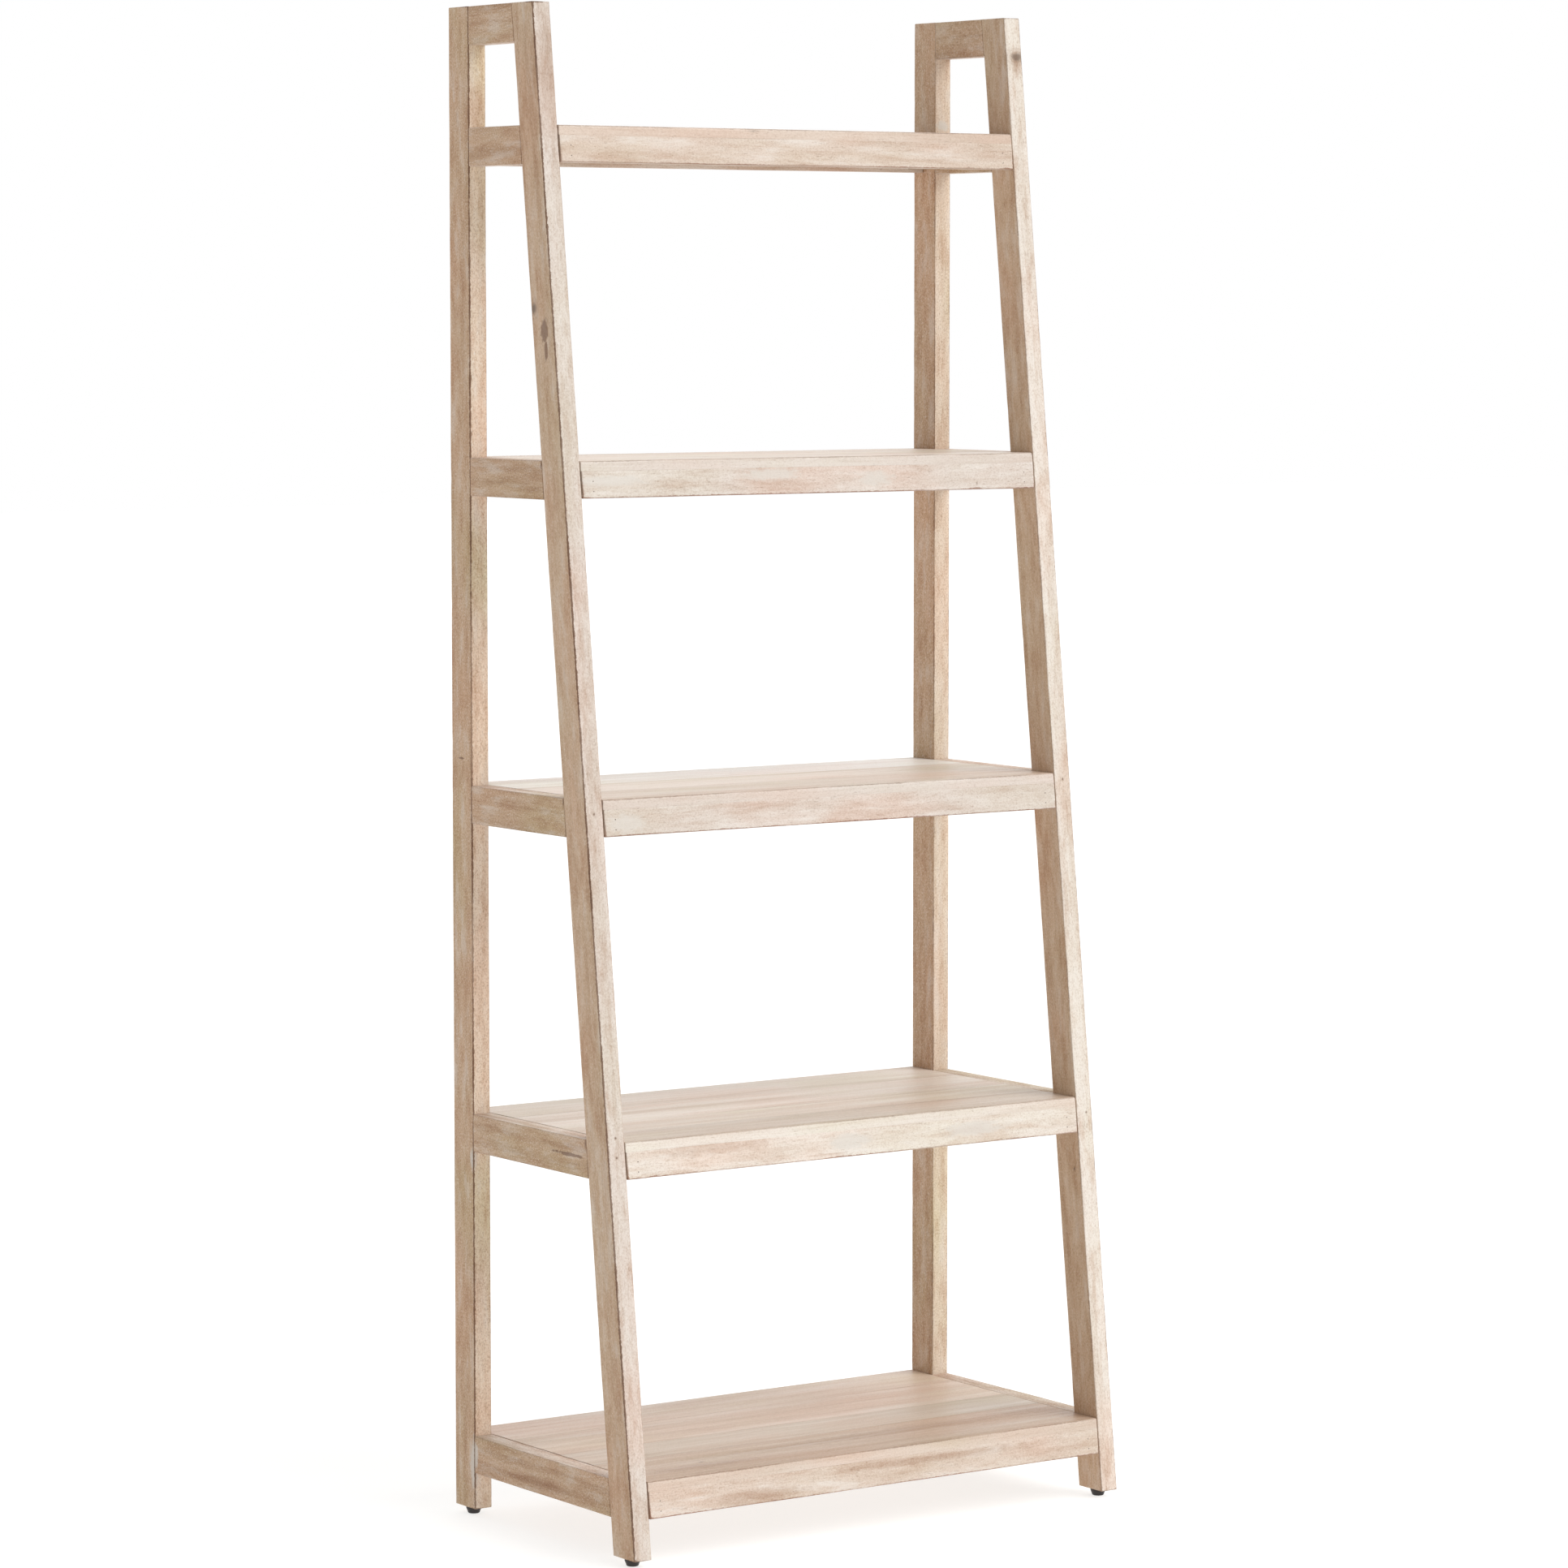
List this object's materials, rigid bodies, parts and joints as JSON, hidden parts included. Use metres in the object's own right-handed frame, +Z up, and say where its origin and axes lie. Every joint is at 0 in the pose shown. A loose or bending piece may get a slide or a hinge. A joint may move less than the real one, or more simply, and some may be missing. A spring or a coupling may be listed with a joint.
{
  "type": "ladder shelf",
  "caption": "Free-standing ladder bookcase: open wooden side frames with leaning front legs carry boarded shelves that get deeper towards the floor, on adjustable feet.",
  "frame": {"origin": "on the floor, in the middle of the footprint", "axes": "+X to the right seen from the front, +Y towards the back, +Z up"},
  "size_m": [0.716, 0.4, 1.83],
  "materials": {
    "frame_wood": "whitewashed, matt",
    "board_wood": "bleached, matt",
    "apron_wood": "whitewashed, matt",
    "batten_wood": "raw sawn",
    "zinc_steel": "zinc plated",
    "insert_brass": "plain",
    "foot_plastic": "moulded black"
  },
  "bodies": {
    "frame": {"left_back_post": "frame_wood", "left_front_leg": "frame_wood", "left_top_rail": "frame_wood", "left_side_rail_1": "frame_wood", "left_side_rail_2": "frame_wood", "left_side_rail_3": "frame_wood", "left_side_rail_4": "frame_wood", "left_side_rail_5": "frame_wood", "right_back_post": "frame_wood", "right_front_leg": "frame_wood", "right_top_rail": "frame_wood", "right_side_rail_1": "frame_wood", "right_side_rail_2": "frame_wood", "right_side_rail_3": "frame_wood", "right_side_rail_4": "frame_wood", "right_side_rail_5": "frame_wood", "shelf_1_board_1": "board_wood", "shelf_1_board_2": "board_wood", "shelf_1_board_3": "board_wood", "shelf_1_board_4": "board_wood", "shelf_1_front_apron": "apron_wood", "shelf_1_back_apron": "apron_wood", "shelf_1_battens": "batten_wood", "shelf_2_board_1": "board_wood", "shelf_2_board_2": "board_wood", "shelf_2_board_3": "board_wood", "shelf_2_board_4": "board_wood", "shelf_2_front_apron": "apron_wood", "shelf_2_back_apron": "apron_wood", "shelf_2_battens": "batten_wood", "shelf_3_board_1": "board_wood", "shelf_3_board_2": "board_wood", "shelf_3_board_3": "board_wood", "shelf_3_front_apron": "apron_wood", "shelf_3_back_apron": "apron_wood", "shelf_3_battens": "batten_wood", "shelf_4_board_1": "board_wood", "shelf_4_board_2": "board_wood", "shelf_4_board_3": "board_wood", "shelf_4_front_apron": "apron_wood", "shelf_4_back_apron": "apron_wood", "shelf_4_battens": "batten_wood", "shelf_5_board_1": "board_wood", "shelf_5_board_2": "board_wood", "shelf_5_front_apron": "apron_wood", "shelf_5_back_apron": "apron_wood", "shelf_5_battens": "batten_wood", "shelf_screws": "zinc_steel", "apron_nails": "zinc_steel", "foot_inserts": "insert_brass"},
    "left_front_pad": {"left_front_foot_pad": "foot_plastic"},
    "left_front_stud": {"left_front_foot_stud": "zinc_steel"},
    "left_back_pad": {"left_back_foot_pad": "foot_plastic"},
    "left_back_stud": {"left_back_foot_stud": "zinc_steel"},
    "right_front_pad": {"right_front_foot_pad": "foot_plastic"},
    "right_front_stud": {"right_front_foot_stud": "zinc_steel"},
    "right_back_pad": {"right_back_foot_pad": "foot_plastic"},
    "right_back_stud": {"right_back_foot_stud": "zinc_steel"}
  },
  "joints": [
    {"name": "left_front_foot_travel", "type": "slide", "parent": "frame", "child": "left_front_pad", "axis": [0, 0, -1], "range_m": [0, 0.01]},
    {"name": "left_front_foot_turn", "type": "hinge", "parent": "left_front_pad", "child": "left_front_stud", "pos_m": [-0.346, -0.177, 0.01], "axis": [0, 0, -1], "range_deg": [0, 3601]},
    {"name": "left_back_foot_travel", "type": "slide", "parent": "frame", "child": "left_back_pad", "axis": [0, 0, -1], "range_m": [0, 0.01]},
    {"name": "left_back_foot_turn", "type": "hinge", "parent": "left_back_pad", "child": "left_back_stud", "pos_m": [-0.346, 0.1775, 0.01], "axis": [0, 0, -1], "range_deg": [0, 3601]},
    {"name": "right_front_foot_travel", "type": "slide", "parent": "frame", "child": "right_front_pad", "axis": [0, 0, -1], "range_m": [0, 0.01]},
    {"name": "right_front_foot_turn", "type": "hinge", "parent": "right_front_pad", "child": "right_front_stud", "pos_m": [0.346, -0.177, 0.01], "axis": [0, 0, -1], "range_deg": [0, 3601]},
    {"name": "right_back_foot_travel", "type": "slide", "parent": "frame", "child": "right_back_pad", "axis": [0, 0, -1], "range_m": [0, 0.01]},
    {"name": "right_back_foot_turn", "type": "hinge", "parent": "right_back_pad", "child": "right_back_stud", "pos_m": [0.346, 0.1775, 0.01], "axis": [0, 0, -1], "range_deg": [0, 3601]}
  ],
  "couplings": [
    {"joint": "left_front_foot_turn", "follows": "left_front_foot_travel", "rad_per_m": 6283.2},
    {"joint": "left_back_foot_turn", "follows": "left_back_foot_travel", "rad_per_m": 6283.2},
    {"joint": "right_front_foot_turn", "follows": "right_front_foot_travel", "rad_per_m": 6283.2},
    {"joint": "right_back_foot_turn", "follows": "right_back_foot_travel", "rad_per_m": 6283.2}
  ]
}
